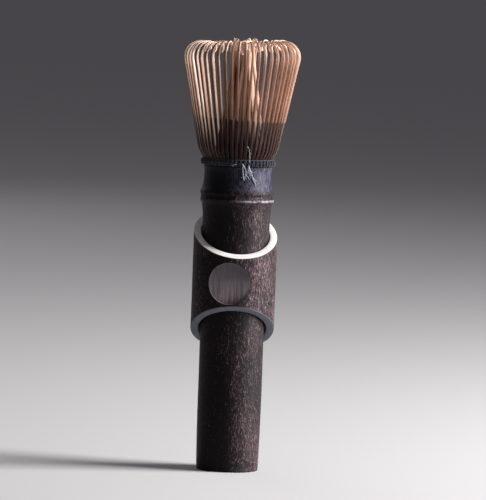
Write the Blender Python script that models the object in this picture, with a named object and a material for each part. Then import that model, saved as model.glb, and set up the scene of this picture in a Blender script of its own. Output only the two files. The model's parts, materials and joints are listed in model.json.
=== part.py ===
"""Long-handled bamboo tea whisk (chasen) of smoked bamboo, with a loose slant-cut bamboo collar.

Frame: metres, +Z up along the whisk's axis, origin at the centre of the handle's foot. The round
flat on the collar faces -Y. One object is one piece; each outer tine stands on its own flexure,
so its origin is on that flexure's axis, at the height of the binding thread.
"""

import math

import bmesh
import bpy
from mathutils import Vector

MM = 0.001

# --- driving dimensions ---------------------------------------------------------------------
GAP = 0.3 * MM                     # air between neighbouring pieces
ROUND_SIDES = 48                   # sides of the turned pieces

# handle: (radius, height) up the outside of the culm, from the foot to the root of the tines
FOOT_CHAMFER = 0.5 * MM
HANDLE_OUTLINE = [
    (12.40 * MM, 0.5 * MM), (12.65 * MM, 14.0 * MM), (12.75 * MM, 32.0 * MM),
    (12.75 * MM, 56.0 * MM), (12.95 * MM, 80.0 * MM), (13.40 * MM, 98.0 * MM),
    (13.62 * MM, 103.6 * MM), (14.05 * MM, 106.8 * MM),
]
NODE_RADIUS = 14.80 * MM           # over the two rings of the bamboo's node
NODE_GROOVE_RADIUS = 14.40 * MM
LOWER_RING_HEIGHT = 108.6 * MM
UPPER_RING_HEIGHT = 111.6 * MM
RING_HALF_HEIGHT = 0.6 * MM
WAIST_OUTLINE = [
    (14.05 * MM, 113.6 * MM), (13.65 * MM, 115.6 * MM), (13.40 * MM, 118.6 * MM),
    (13.45 * MM, 120.4 * MM), (13.75 * MM, 122.0 * MM),
]
BORE_RADIUS = 7.0 * MM             # natural hollow of the culm, open at the foot
BORE_TOP = 104.0 * MM
BORE_DOME = 1.5 * MM               # how far its rounded end rises over the axis
NODE_FLOOR = 113.5 * MM            # top of the wall that closes the culm at the node
CUP_RADIUS = 9.5 * MM              # hollow above the node, under the inner tines
CUP_CORNER = 1.0 * MM              # the cup's wall meets its dished floor this far up

# tines: split from the wall above the node
ROOT_HEIGHT = WAIST_OUTLINE[-1][1] + GAP
TINE_COUNT = 52
FLEX_HEIGHT = 124.0 * MM           # the thread's height, where a tine flexes
FLEX_RADIUS = 13.2 * MM
FLANK_SLOPE = math.radians(11.5)   # splay of the straight stretch from the axis
CURL_RADIUS = 6.5 * MM             # outer face of the turn at the top
CURL_CENTRE = (17.0 * MM, 165.7 * MM)
HOOK_RADIUS = 2.4 * MM             # tighter turn of the tip
HOOK_TURN = math.radians(120.0)
HOOK_SPREAD = 0.15                 # share by which that differs from tine to tine
CURL_STEPS, HOOK_STEPS = 6, 4
ROOT_PULL = 1.5 * MM               # how far the thread draws the roots in from the flank's line
ROOT_PULL_HEIGHT = 5.0 * MM        # height over which that fades
TINE_WIDTH = (1.15 * MM, 1.05 * MM, 0.75 * MM)      # along the rim, at root, turn and tip
TINE_THICKNESS = (1.0 * MM, 0.72 * MM, 0.42 * MM)   # through the wall, at root, turn and tip
TURN_SHARE = 0.7                   # where the turn lies along a tine's length
SLOPE_STEP = 0.1 * MM              # either side of a height at which the flank's slope is read
FLANK_SHARES = (0.0, 0.06, 0.10, 0.16, 0.40, 0.70)  # where the flank's rings lie along it
TINE_LEAN = math.radians(1.1)      # most that a tine leans along the rim by its top
TINE_STEP = math.radians(0.25)     # most that a root is off even spacing
TINE_RISE = 0.35 * MM              # most that a tine's turn is above or below its neighbours
TIP_TILT = 0.55 * MM               # the turns on the +X side are this much higher, on -X lower

# inner tines, gathered in the middle: (radius, height)
INNER_OUTLINE = [
    (11.6 * MM, ROOT_HEIGHT), (10.8 * MM, 126.0 * MM), (8.8 * MM, 135.0 * MM),
    (6.8 * MM, 148.0 * MM), (5.6 * MM, 160.0 * MM), (5.2 * MM, 168.0 * MM),
    (4.6 * MM, 171.6 * MM), (2.6 * MM, 173.2 * MM),
]
INNER_DRIFT = 1.2 * MM             # the gathered tips stand this far to +X
INNER_SIDES = 24

# binding thread, one loop over each outer tine
THREAD_LOW, THREAD_HIGH = 122.6 * MM, 125.0 * MM
THREAD_INNER_RADIUS = 14.35 * MM
THREAD_OUTER_RADIUS = 15.0 * MM
THREAD_SCALLOP = 0.15 * MM         # depth between two loops
END_RADIUS = 0.22 * MM             # loose end of the thread
END_STAND_OFF = 0.32 * MM          # air between it and the waist
END_SIDES = 6
# loose end, down and up over the front of the waist: (x, height)
END_ROUTE = [
    (1.9 * MM, 117.2 * MM), (1.7 * MM, 119.6 * MM), (2.1 * MM, 121.8 * MM), (2.9 * MM, 120.9 * MM),
    (3.6 * MM, 119.4 * MM), (3.9 * MM, 121.2 * MM), (4.4 * MM, 121.9 * MM), (5.0 * MM, 120.8 * MM),
    (5.8 * MM, 119.0 * MM), (6.7 * MM, 117.0 * MM), (7.5 * MM, 115.4 * MM),
]

# collar
COLLAR_OUTER_RADIUS = 16.8 * MM
COLLAR_BORE_RADIUS = 13.65 * MM
COLLAR_MOUTH_RADIUS = 14.0 * MM    # the bore opens to this at the collar's highest point
# each slant cut: its height on the axis, its slope, and how far to +X of -Y its low side faces
TOP_CUT = (95.0 * MM, math.radians(28.2), math.radians(8.0))
BOTTOM_CUT = (56.8 * MM, math.radians(30.5), math.radians(1.7))
COLLAR_EDGE = 0.25 * MM
COLLAR_SIDES = 64
SPOT_RADIUS = 8.35 * MM            # round flat cut through the skin
SPOT_DISTANCE = 14.5 * MM          # from the axis to the flat
SPOT_AZIMUTH = math.radians(-6.5)  # the flat faces this far to -X of -Y
SPOT_HEIGHT = 75.9 * MM

SMOKED_BAMBOO = ((0.030, 0.019, 0.017), 0.42, 0.0)
RAW_BAMBOO = ((0.560, 0.360, 0.250), 0.60, 0.0)
DARK_THREAD = ((0.016, 0.017, 0.024), 0.85, 0.0)


# --- helpers --------------------------------------------------------------------------------
def clear_scene():
    for old in list(bpy.data.objects):
        bpy.data.objects.remove(old, do_unlink=True)


def make_material(name, look):
    colour, roughness, metallic = look
    material = bpy.data.materials.new(name)
    material.use_nodes = True
    shader = material.node_tree.nodes["Principled BSDF"]
    shader.inputs["Base Color"].default_value = (*colour, 1.0)
    shader.inputs["Roughness"].default_value = roughness
    shader.inputs["Metallic"].default_value = metallic
    return material


def make_object(name, bm, look, smooth_angle=40.0):
    """One piece from its bmesh, with its faces pointing out and its own material."""
    bmesh.ops.recalc_face_normals(bm, faces=bm.faces)
    mesh = bpy.data.meshes.new(name)
    bm.to_mesh(mesh)
    bm.free()
    mesh.shade_smooth()
    mesh.set_sharp_from_angle(angle=math.radians(smooth_angle))
    mesh.materials.append(make_material(name + "_finish", look))
    piece = bpy.data.objects.new(name, mesh)
    bpy.context.scene.collection.objects.link(piece)
    return piece


def uneven(index, which):
    """A repeatable value in -1..1 for one tine; `which` tells one trait from another."""
    return 2.0 * ((math.sin(index * 12.9898 + which * 78.233) * 43758.5453) % 1.0) - 1.0


def smooth_line(points, steps):
    """Catmull-Rom curve through (a, b) points, `steps` to each interval."""
    ends = [points[0], *points, points[-1]]
    line = []
    for p0, p1, p2, p3 in zip(ends, ends[1:], ends[2:], ends[3:]):
        for k in range(steps):
            t = k / steps
            line.append(tuple(
                0.5 * (2 * b + (c - a) * t + (2 * a - 5 * b + 4 * c - d) * t * t
                       + (3 * b - a - 3 * c + d) * t ** 3)
                for a, b, c, d in zip(p0, p1, p2, p3)))
    return [*line, points[-1]]


def ring_loop(bm, corners):
    return [bm.verts.new(c) for c in corners]


def join_rings(bm, first, second):
    for k in range(len(first)):
        n = (k + 1) % len(first)
        bm.faces.new((first[k], first[n], second[n], second[k]))


def turned(outline, sides, drift=0.0):
    """A closed turned solid from (radius, height) points that start and end on the axis.

    `drift` bends its axis towards +X with the square of the height above the first point.
    """
    bm = bmesh.new()
    low, high = outline[0][1], max(h for _, h in outline)
    rings = []
    for radius, height in outline:
        shift = drift * max(0.0, (height - low) / (high - low)) ** 2 if drift else 0.0
        if radius == 0.0:
            rings.append([bm.verts.new((shift, 0.0, height))])
            continue
        turns = [2 * math.pi * k / sides for k in range(sides)]
        rings.append(ring_loop(bm, [
            (shift + radius * math.cos(a), radius * math.sin(a), height) for a in turns]))
    for first, second in zip(rings, rings[1:]):
        if len(first) == 1 or len(second) == 1:
            pole, rim = (first[0], second) if len(first) == 1 else (second[0], first)
            for k in range(sides):
                bm.faces.new((pole, rim[k], rim[(k + 1) % sides]))
        else:
            join_rings(bm, first, second)
    return bm


# --- the culm: handle, node and waist in one length of bamboo ---------------------------------
def node_ring(height):
    """Three points over one raised ring of the node."""
    crown = NODE_RADIUS
    shoulder = (NODE_RADIUS + NODE_GROOVE_RADIUS) / 2
    return [
        (shoulder, height - RING_HALF_HEIGHT), (crown, height - RING_HALF_HEIGHT / 2),
        (crown, height + RING_HALF_HEIGHT / 2), (shoulder, height + RING_HALF_HEIGHT),
    ]


def culm_outline():
    foot_radius = HANDLE_OUTLINE[0][0]
    groove = (LOWER_RING_HEIGHT + UPPER_RING_HEIGHT) / 2
    rim = WAIST_OUTLINE[-1][1]
    return [
        (0.0, BORE_TOP + BORE_DOME), (BORE_RADIUS * 0.7, BORE_TOP + BORE_DOME * 0.65),
        (BORE_RADIUS, BORE_TOP - BORE_DOME * 0.65), (BORE_RADIUS, 0.0),
        (foot_radius - FOOT_CHAMFER, 0.0), *smooth_line(HANDLE_OUTLINE, 2),
        *node_ring(LOWER_RING_HEIGHT), (NODE_GROOVE_RADIUS, groove),
        *node_ring(UPPER_RING_HEIGHT), *smooth_line(WAIST_OUTLINE, 2),
        (CUP_RADIUS, rim), (CUP_RADIUS, NODE_FLOOR + CUP_CORNER), (0.0, NODE_FLOOR),
    ]


def make_culm():
    return make_object("culm", turned(culm_outline(), ROUND_SIDES), SMOKED_BAMBOO, 50.0)


# --- tines --------------------------------------------------------------------------------------
def tine_face(rise, hook_turn):
    """Outer face of a tine as (radius, height, heading); heading 0 is up, positive is inwards."""
    centre_r, centre_z = CURL_CENTRE[0], CURL_CENTRE[1] + rise
    start_r = centre_r + CURL_RADIUS * math.cos(FLANK_SLOPE)
    start_z = centre_z - CURL_RADIUS * math.sin(FLANK_SLOPE)

    def flank_radius(height):
        pull = ROOT_PULL * math.exp(-((height - ROOT_HEIGHT) / ROOT_PULL_HEIGHT) ** 4)
        return start_r - (start_z - height) * math.tan(FLANK_SLOPE) - pull

    points = []
    for share in FLANK_SHARES:
        height = ROOT_HEIGHT + (start_z - ROOT_HEIGHT) * share
        rise_out = flank_radius(height + SLOPE_STEP) - flank_radius(height - SLOPE_STEP)
        points.append((flank_radius(height), height, -math.atan(rise_out / (2 * SLOPE_STEP))))
    for k in range(CURL_STEPS + 1):
        heading = -FLANK_SLOPE + (math.pi / 2 + FLANK_SLOPE) * k / CURL_STEPS
        points.append((centre_r + CURL_RADIUS * math.cos(heading),
                       centre_z + CURL_RADIUS * math.sin(heading), heading))
    hook_z = centre_z + CURL_RADIUS - HOOK_RADIUS
    for k in range(1, HOOK_STEPS + 1):
        heading = math.pi / 2 + hook_turn * k / HOOK_STEPS
        points.append((centre_r + HOOK_RADIUS * math.cos(heading),
                       hook_z + HOOK_RADIUS * math.sin(heading), heading))
    return points


def between(sizes, share):
    """Root, turn and tip sizes, read at a share of the tine's length."""
    root, turn, tip = sizes
    if share < TURN_SHARE:
        return root + (turn - root) * share / TURN_SHARE
    return turn + (tip - turn) * (share - TURN_SHARE) / (1.0 - TURN_SHARE)


def make_tine(index):
    azimuth = 2 * math.pi * (index + 0.5) / TINE_COUNT + TINE_STEP * uneven(index, 1)
    lean = TINE_LEAN * uneven(index, 2)
    rise = TINE_RISE * uneven(index, 3) + TIP_TILT * math.cos(azimuth)
    face = tine_face(rise, HOOK_TURN * (1.0 + HOOK_SPREAD * uneven(index, 4)))
    runs = [math.dist(a[:2], b[:2]) for a, b in zip(face, face[1:])]
    bm = bmesh.new()
    rings = []
    for k, (radius, height, heading) in enumerate(face):
        share = sum(runs[:k]) / sum(runs)
        half_width = between(TINE_WIDTH, share) / 2
        thickness = between(TINE_THICKNESS, share)
        sideways = radius * math.tan(lean * share)
        inner_r = radius - thickness * math.cos(heading)
        inner_z = height - thickness * math.sin(heading)
        rings.append(ring_loop(bm, [
            (radius - FLEX_RADIUS, sideways - half_width, height - FLEX_HEIGHT),
            (radius - FLEX_RADIUS, sideways + half_width, height - FLEX_HEIGHT),
            (inner_r - FLEX_RADIUS, sideways + half_width, inner_z - FLEX_HEIGHT),
            (inner_r - FLEX_RADIUS, sideways - half_width, inner_z - FLEX_HEIGHT)]))
    for first, second in zip(rings, rings[1:]):
        join_rings(bm, first, second)
    bm.faces.new(rings[0])
    bm.faces.new(rings[-1])
    tine = make_object(f"tine_{index + 1:02d}", bm, RAW_BAMBOO, 50.0)
    tine.location = (FLEX_RADIUS * math.cos(azimuth), FLEX_RADIUS * math.sin(azimuth), FLEX_HEIGHT)
    tine.rotation_euler = (0.0, 0.0, azimuth)
    return tine


def make_inner_tines():
    top = INNER_OUTLINE[-1][1]
    outline = [(0.0, INNER_OUTLINE[0][1]), *INNER_OUTLINE, (0.0, top + 0.1 * MM)]
    return make_object("inner_tines", turned(outline, INNER_SIDES, INNER_DRIFT), RAW_BAMBOO)


# --- thread -------------------------------------------------------------------------------------
def make_binding_thread():
    """A band with one soft scallop to each outer tine."""
    bm = bmesh.new()
    middle = (THREAD_LOW + THREAD_HIGH) / 2
    sides = 2 * TINE_COUNT
    rings = []
    for k in range(sides):
        turn = math.pi * k / TINE_COUNT
        outer = THREAD_OUTER_RADIUS - (0.0 if k % 2 else THREAD_SCALLOP)
        shoulder = (THREAD_INNER_RADIUS + outer) / 2
        section = [
            (THREAD_INNER_RADIUS, THREAD_LOW), (shoulder, THREAD_LOW), (outer, middle),
            (shoulder, THREAD_HIGH), (THREAD_INNER_RADIUS, THREAD_HIGH),
        ]
        rings.append(ring_loop(bm, [
            (r * math.cos(turn), r * math.sin(turn), z) for r, z in section]))
    for first, second in zip(rings, [*rings[1:], rings[0]]):
        join_rings(bm, first, second)
    return make_object("binding_thread", bm, DARK_THREAD)


def waist_radius(height):
    """Radius of the culm's waist, straight between its outline's points."""
    for (r0, z0), (r1, z1) in zip(WAIST_OUTLINE, WAIST_OUTLINE[1:]):
        if height <= z1:
            return r0 + (r1 - r0) * (height - z0) / (z1 - z0)
    return WAIST_OUTLINE[-1][0]


def make_thread_end():
    """The loose end, a thin tube that wanders over the front of the waist."""
    route = []
    for x, height in smooth_line(END_ROUTE, 3):
        away = waist_radius(height) + END_STAND_OFF + END_RADIUS
        route.append(Vector((x, -math.sqrt(away * away - x * x), height)))
    bm = bmesh.new()
    rings = []
    for k, point in enumerate(route):
        along = (route[min(k + 1, len(route) - 1)] - route[max(k - 1, 0)]).normalized()
        out = Vector((point.x, point.y, 0.0)).normalized()
        side = along.cross(out).normalized()
        out = side.cross(along)
        turns = [2 * math.pi * n / END_SIDES for n in range(END_SIDES)]
        rings.append(ring_loop(bm, [
            point + END_RADIUS * (math.cos(a) * side + math.sin(a) * out) for a in turns]))
    for first, second in zip(rings, rings[1:]):
        join_rings(bm, first, second)
    bm.faces.new(rings[0])
    bm.faces.new(rings[-1])
    return make_object("thread_end", bm, DARK_THREAD, 60.0)


# --- collar -------------------------------------------------------------------------------------
def slant_height(radius, turn, cut, side):
    """Height of a slant cut; `side` is 1 for the top, -1 for the bottom."""
    middle, slope, facing = cut
    return middle - side * math.tan(slope) * radius * math.cos(turn + math.pi / 2 - facing)


def mouth_radius(turn):
    """Radius of the bore at the top cut: plain on the short side, widest on the long side."""
    facing = TOP_CUT[2]
    share = 0.5 - 0.5 * math.cos(turn + math.pi / 2 - facing)
    return COLLAR_BORE_RADIUS + (COLLAR_MOUTH_RADIUS - COLLAR_BORE_RADIUS) * share


def make_spot_cutter():
    bm = bmesh.new()
    bmesh.ops.create_cone(bm, cap_ends=True, segments=COLLAR_SIDES, radius1=SPOT_RADIUS,
                          radius2=SPOT_RADIUS, depth=2 * COLLAR_OUTER_RADIUS)
    cutter = make_object("spot_cutter", bm, RAW_BAMBOO)
    facing = Vector((math.sin(SPOT_AZIMUTH), -math.cos(SPOT_AZIMUTH), 0.0))
    cutter.rotation_euler = facing.to_track_quat("Z", "Y").to_euler()
    cutter.location = facing * (SPOT_DISTANCE + COLLAR_OUTER_RADIUS) + Vector((0, 0, SPOT_HEIGHT))
    cutter.hide_render = True
    cutter.display_type = "WIRE"
    return cutter


def make_collar():
    """A tube cut at a slant at both ends, with eased edges and a round flat on its short side."""
    middle = (TOP_CUT[0] + BOTTOM_CUT[0]) / 2
    outer, bore, edge = COLLAR_OUTER_RADIUS, COLLAR_BORE_RADIUS, COLLAR_EDGE
    bm = bmesh.new()
    rings = []
    for k in range(COLLAR_SIDES):
        turn = 2 * math.pi * k / COLLAR_SIDES

        def top(radius, turn=turn):
            return slant_height(radius, turn, TOP_CUT, 1)

        def bottom(radius, turn=turn):
            return slant_height(radius, turn, BOTTOM_CUT, -1)

        mouth = mouth_radius(turn)
        section = [
            (outer, bottom(outer) + edge), (outer, top(outer) - edge),
            (outer - edge, top(outer - edge)), (mouth + edge, top(mouth + edge)),
            (mouth, top(mouth) - edge), (bore, bottom(bore) + edge),
            (bore + edge, bottom(bore + edge)), (outer - edge, bottom(outer - edge)),
        ]
        rings.append(ring_loop(bm, [
            (r * math.cos(turn), r * math.sin(turn), z - middle) for r, z in section]))
    for first, second in zip(rings, [*rings[1:], rings[0]]):
        join_rings(bm, first, second)
    collar = make_object("collar", bm, SMOKED_BAMBOO)
    collar.location = (0.0, 0.0, middle)
    cut = collar.modifiers.new("round_flat", "BOOLEAN")
    cut.operation = "DIFFERENCE"
    cut.solver = "EXACT"
    cut.object = make_spot_cutter()
    return collar


clear_scene()
make_culm()
make_inner_tines()
for number in range(TINE_COUNT):
    make_tine(number)
make_binding_thread()
make_thread_end()
make_collar()
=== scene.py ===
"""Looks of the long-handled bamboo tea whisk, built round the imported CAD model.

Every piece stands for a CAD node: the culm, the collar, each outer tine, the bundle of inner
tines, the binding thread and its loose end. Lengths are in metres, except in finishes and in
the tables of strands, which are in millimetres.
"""

import json
import math

import bmesh
import bpy
import numpy as np
from mathutils import Matrix, Vector, noise


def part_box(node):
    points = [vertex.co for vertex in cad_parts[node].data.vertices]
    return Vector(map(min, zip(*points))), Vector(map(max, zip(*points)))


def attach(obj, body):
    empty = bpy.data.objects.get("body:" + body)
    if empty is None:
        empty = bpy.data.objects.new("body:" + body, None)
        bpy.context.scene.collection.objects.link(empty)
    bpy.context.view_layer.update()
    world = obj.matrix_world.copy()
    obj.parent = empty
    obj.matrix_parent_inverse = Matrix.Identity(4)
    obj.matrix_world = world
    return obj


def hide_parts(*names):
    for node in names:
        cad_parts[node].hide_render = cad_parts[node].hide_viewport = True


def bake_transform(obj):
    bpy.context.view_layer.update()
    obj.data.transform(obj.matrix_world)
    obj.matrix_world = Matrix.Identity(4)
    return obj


MM = 0.001

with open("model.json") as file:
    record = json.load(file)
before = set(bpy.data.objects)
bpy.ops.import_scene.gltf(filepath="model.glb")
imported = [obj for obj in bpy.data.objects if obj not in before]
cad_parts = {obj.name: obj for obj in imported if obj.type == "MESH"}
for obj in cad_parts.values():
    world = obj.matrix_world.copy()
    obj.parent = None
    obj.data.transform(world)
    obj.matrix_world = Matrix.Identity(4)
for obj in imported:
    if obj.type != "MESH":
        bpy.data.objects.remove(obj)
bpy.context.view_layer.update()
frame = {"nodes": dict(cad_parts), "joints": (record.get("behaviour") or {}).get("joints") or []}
cad = frame["nodes"]
joints = {joint["name"]: joint for joint in frame["joints"]}
TINES = sorted(name for name in cad if name.startswith("tine_"))

# --- what the frame says ----------------------------------------------------------------------
RIM_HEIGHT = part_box("culm")[1].z
COLLAR_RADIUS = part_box("collar")[1].x
binding_low, binding_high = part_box("binding_thread")
BINDING_RADIUS = binding_high.x

# --- measures that finishes and meshes share --------------------------------------------------
FLAT_AZIMUTH = math.radians(-6.5)   # the collar's round flat, from the front
FLAT_RADIUS = 8.35 * MM
FLAT_HEIGHT = 75.9 * MM
FLAT_DISTANCE = 14.5 * MM           # from the whisk's axis to the flat
LIT_SIDE = math.radians(-28.0)  # the lit side, from +X: more worn brown is painted there as painted light, on top of real wear

# heights where a finish changes, in millimetres
FLAT_SHADE = (71.5, 80.5)           # painted shade: the round flat darkens upwards between these
CREST_BAND = (107.6, 109.6)         # the node's lower ring: a painted highlight on its crest on the lit side, a trace of wear all round
WAIST_START = (111.7, 113.0)        # worn skin below, lacquer above
SHADED_ROOTS = (131.0, 148.0)      # painted shade at the foot of the split tines fades out between these
CLEAN_TIPS = (161.0, 168.0)
SKIN_TOP = 141.1                    # the scraped line on the outer faces
SKIN_TILT = 0.047                   # it falls this much for each millimetre towards +X


def points_of(node):
    """The CAD node's vertices, one row each."""
    return np.array([v.co for v in cad[node].data.vertices], float)


def uneven(index, which):
    """A repeatable value in -1..1; `which` tells one trait from another."""
    return 2.0 * ((math.sin(index * 12.9898 + which * 78.233) * 43758.5453) % 1.0) - 1.0


def wander(*place):
    """Smooth noise in about -1..1 at a place given in its own units."""
    return noise.noise(Vector((*place, 0.0, 0.0)[:3]))


def polar(radius, turn, height):
    return Vector((radius * math.cos(turn), radius * math.sin(turn), height))


# --- node trees -------------------------------------------------------------------------------
class Finish:
    """A material whose nodes are added one call at a time; sockets are passed on as links."""

    def __init__(self, name):
        self.material = bpy.data.materials.new(name)
        self.material.use_nodes = True
        self.tree = self.material.node_tree
        self.shader = self.tree.nodes["Principled BSDF"]

    def node(self, kind, out=0, inputs=None, **settings):
        """Add a shader node and give back one of its outputs."""
        made = self.tree.nodes.new("ShaderNode" + kind)
        for key, value in settings.items():
            setattr(made, key, value)
        for key, value in (inputs or {}).items():
            self.feed(made.inputs[key], value)
        return made.outputs[out]

    def feed(self, socket, value):
        if isinstance(value, bpy.types.NodeSocket):
            self.tree.links.new(value, socket)
        else:
            socket.default_value = value

    def set(self, **values):
        for key, value in values.items():
            self.feed(self.shader.inputs[key.replace("_", " ")], value)

    def in_mm(self, vector):
        return self.node("VectorMath", 0, {0: vector, 3: 1.0 / MM}, operation="SCALE")

    def place(self):
        """The row frame, in millimetres."""
        return self.in_mm(self.node("TexCoord", "Object"))

    def fibre_place(self):
        """The `fibre` attribute, in millimetres."""
        return self.in_mm(self.node("Attribute", "Vector", attribute_name="fibre"))

    def stretched(self, vector, across, along):
        """A vector squeezed for a noise that runs with the fibres, along Z."""
        return self.node("Mapping", 0, {"Vector": vector, "Scale": (across, across, along)})

    def noise(self, vector, scale=1.0, detail=3.0, roughness=0.55):
        return self.node("TexNoise", "Fac", {
            "Vector": vector, "Scale": scale, "Detail": detail, "Roughness": roughness})

    def ramp(self, factor, *stops):
        """A colour ramp; each stop is (position, grey or colour)."""
        made = self.tree.nodes.new("ShaderNodeValToRGB")
        self.feed(made.inputs[0], factor)
        ends = made.color_ramp.elements
        while len(ends) < len(stops):
            ends.new(0.5)
        for end, (position, tone) in zip(ends, stops):
            end.position = position
            end.color = (*tone, 1.0) if isinstance(tone, tuple) else (tone, tone, tone, 1.0)
        return made.outputs[0]

    def mix(self, factor, first, second):
        made = self.tree.nodes.new("ShaderNodeMix")
        made.data_type = "RGBA"
        self.feed(made.inputs[0], factor)
        for socket, value in ((made.inputs[6], first), (made.inputs[7], second)):
            self.feed(socket, (*value, 1.0) if isinstance(value, tuple) else value)
        return made.outputs[2]

    def fold(self, how, values):
        total = values[0]
        for value in values[1:]:
            total = self.node("Math", 0, {0: total, 1: value}, operation=how)
        return total

    def times(self, *values):
        return self.fold("MULTIPLY", values)

    def plus(self, *values):
        return self.fold("ADD", values)

    def weighted(self, *terms):
        """The sum of (value, weight) pairs."""
        return self.plus(*(self.times(value, weight) for value, weight in terms))

    def span(self, value, low, high, to_low=0.0, to_high=1.0):
        return self.node("MapRange", 0, {
            "Value": value, "From Min": low, "From Max": high,
            "To Min": to_low, "To Max": to_high})

    def part(self, vector, axis):
        return self.node("SeparateXYZ", axis, {0: vector})

    def bump(self, height, depth, strength=1.0):
        return self.node("Bump", 0, {"Height": height, "Distance": depth, "Strength": strength})


def smoked_skin(name, dark, worn, share):
    """Smoked bamboo skin: near black, worn to reddish brown in short dashes along the fibres.

    The brown starts to show where the wear adds up to `share`.
    """
    look = Finish(name)
    place = look.place()
    clouds = look.noise(look.stretched(place, 0.11, 0.04), 1.0, 2.0)
    dashes = look.noise(look.stretched(place, 2.0, 0.46), 1.0, 5.0, 0.68)
    specks = look.noise(look.stretched(place, 3.0, 1.4), 1.0, 5.0, 0.74)
    fibres = look.noise(look.stretched(place, 6.0, 0.06), 1.0, 2.0)
    grit = look.noise(look.stretched(place, 3.6, 2.2), 1.0, 3.0, 0.6)
    # the mask below rises towards the lit front right, where more worn brown is painted as
    # painted light on top of the real wear
    to_light = (math.cos(LIT_SIDE), math.sin(LIT_SIDE), 0.0)
    look.handled = look.span(look.node("VectorMath", "Value", {0: place, 1: to_light},
                                       operation="DOT_PRODUCT"), 1.0, 13.0)
    wear = look.weighted((clouds, 0.28), (dashes, 0.75), (specks, 0.40), (look.handled, 0.105))
    mask = look.ramp(wear, (share, 0.0), (share + 0.09, 0.40), (share + 0.20, 1.0))
    black = look.mix(fibres, tuple(c * 0.5 for c in dark), dark)
    reddish = (worn[0] * 0.28, worn[1] * 0.20, worn[2] * 0.20)
    fresh = tuple(0.05 + 1.5 * c for c in worn)
    brown = look.ramp(specks, (0.40, reddish), (0.52, worn), (0.66, fresh))
    look.height = look.part(place, 2)
    look.colour = look.mix(mask, black, brown)
    look.relief = look.weighted((dashes, 0.55), (specks, 0.35), (grit, 0.22))
    look.rough = look.span(specks, 0.40, 0.60, 0.66, 0.38)
    look.set(Base_Color=look.colour, Roughness=look.rough,
             Normal=look.bump(look.relief, 0.00034))
    look.shader.inputs["Specular IOR Level"].default_value = 0.13
    return look


def culm_skin():
    """The handle's skin; the waist above the node keeps its lacquer, with a bluish painted
    highlight on its lit side.
    """
    look = smoked_skin("smoked_culm_skin", (0.0042, 0.0018, 0.0036), (0.122, 0.070, 0.078), 0.800)
    place = look.place()
    streaks = look.noise(look.stretched(place, 3.2, 0.12), 1.0, 4.0, 0.6)
    waist = look.span(look.height, *WAIST_START)
    # painted highlight: a bluish reflection of the window, painted on the lit side of the waist
    waist_highlight = look.times(waist, look.handled, look.ramp(streaks, (0.42, 0.0), (0.64, 1.0)))
    colour = look.mix(waist, look.colour, (0.0030, 0.0030, 0.0048))
    colour = look.mix(look.times(waist_highlight, 0.8), colour, (0.088, 0.082, 0.150))
    # painted highlight: the crest of the node's lower ring is painted pale on the lit side, with
    # a faint trace of wear all round
    crest = look.ramp(look.span(look.height, *CREST_BAND),
                      (0.20, 0.0), (0.38, 1.0), (0.62, 1.0), (0.80, 0.0))
    broken = look.ramp(look.noise(look.stretched(place, 0.9, 0.9), 1.0, 4.0),
                       (0.36, 0.0), (0.50, 1.0))
    crest_highlight = look.times(crest, broken, look.span(look.handled, 0.3, 1.0, 0.04, 0.80))
    relief = look.mix(waist, look.relief, look.times(streaks, 0.5))
    look.set(Base_Color=look.mix(crest_highlight, colour, (0.300, 0.275, 0.315)),
             Roughness=look.mix(waist, look.rough, (0.45, 0.45, 0.45)),
             Normal=look.bump(relief, 0.00024))
    return look.material


def collar_skin():
    """The collar's skin, with painted shade where it meets the round flat."""
    look = smoked_skin("smoked_collar_skin", (0.0056, 0.0026, 0.0048), (0.205, 0.124, 0.138),
                       0.778)
    # painted shade: a near-black band on the skin round the flat's edge, where the recess wall
    # shades it
    rim = look.span(from_flat(look), 8.45, 9.2, 0.85, 0.0)
    look.set(Base_Color=look.mix(rim, look.colour, (0.0050, 0.0035, 0.0040)))
    return look.material


def from_flat(look):
    """Distance from the middle line of the collar's round flat, in millimetres."""
    away = look.node("VectorMath", 0, {0: look.place(), 1: (0.0, 0.0, FLAT_HEIGHT / MM)},
                     operation="SUBTRACT")
    turned = look.node("VectorRotate", 0, {"Vector": away, "Angle": -FLAT_AZIMUTH},
                       rotation_type="Z_AXIS")
    flat = look.node("VectorMath", 0, {0: turned, 1: (1.0, 0.0, 1.0)}, operation="MULTIPLY")
    return look.node("VectorMath", "Value", {0: flat}, operation="LENGTH")


def sawn_end(name, pale, dark, skin_radius, bore_radius):
    """Bamboo sawn across: fibre bundles as dots, small and close under the skin."""
    look = Finish(name)
    place = look.place()
    flat = look.node("VectorMath", 0, {0: place, 1: (1.0, 1.0, 0.0)}, operation="MULTIPLY")
    radius = look.node("VectorMath", "Value", {0: flat}, operation="LENGTH")
    depth = look.span(radius, skin_radius, bore_radius)
    fine = look.node("TexVoronoi", "Distance", {"Vector": flat, "Scale": 2.6})
    coarse = look.node("TexVoronoi", "Distance", {"Vector": flat, "Scale": 1.25})
    dots = look.mix(depth, look.ramp(fine, (0.20, 1.0), (0.36, 0.0)),
                    look.ramp(coarse, (0.16, 1.0), (0.28, 0.0)))
    mottle = look.noise(place, 0.35, 4.0)
    saw = look.noise(look.node("Mapping", 0, {
        "Vector": place, "Scale": (0.3, 5.0, 5.0), "Rotation": (0.0, 0.0, 0.5)}), 1.0, 2.0)
    ground = look.mix(mottle, pale, tuple(c * 0.80 for c in pale))
    colour = look.mix(look.times(dots, 0.62), ground, dark)
    rim = look.ramp(look.span(radius, skin_radius - 0.32, skin_radius - 0.05), (0.0, 0.0),
                    (1.0, 1.0))
    colour = look.mix(look.times(rim, 0.75), colour, (0.060, 0.034, 0.026))
    look.set(Base_Color=colour, Roughness=look.span(mottle, 0.3, 0.7, 0.62, 0.80),
             Normal=look.bump(look.plus(saw, dots), 0.00005, 0.5))
    return look.material


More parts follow.
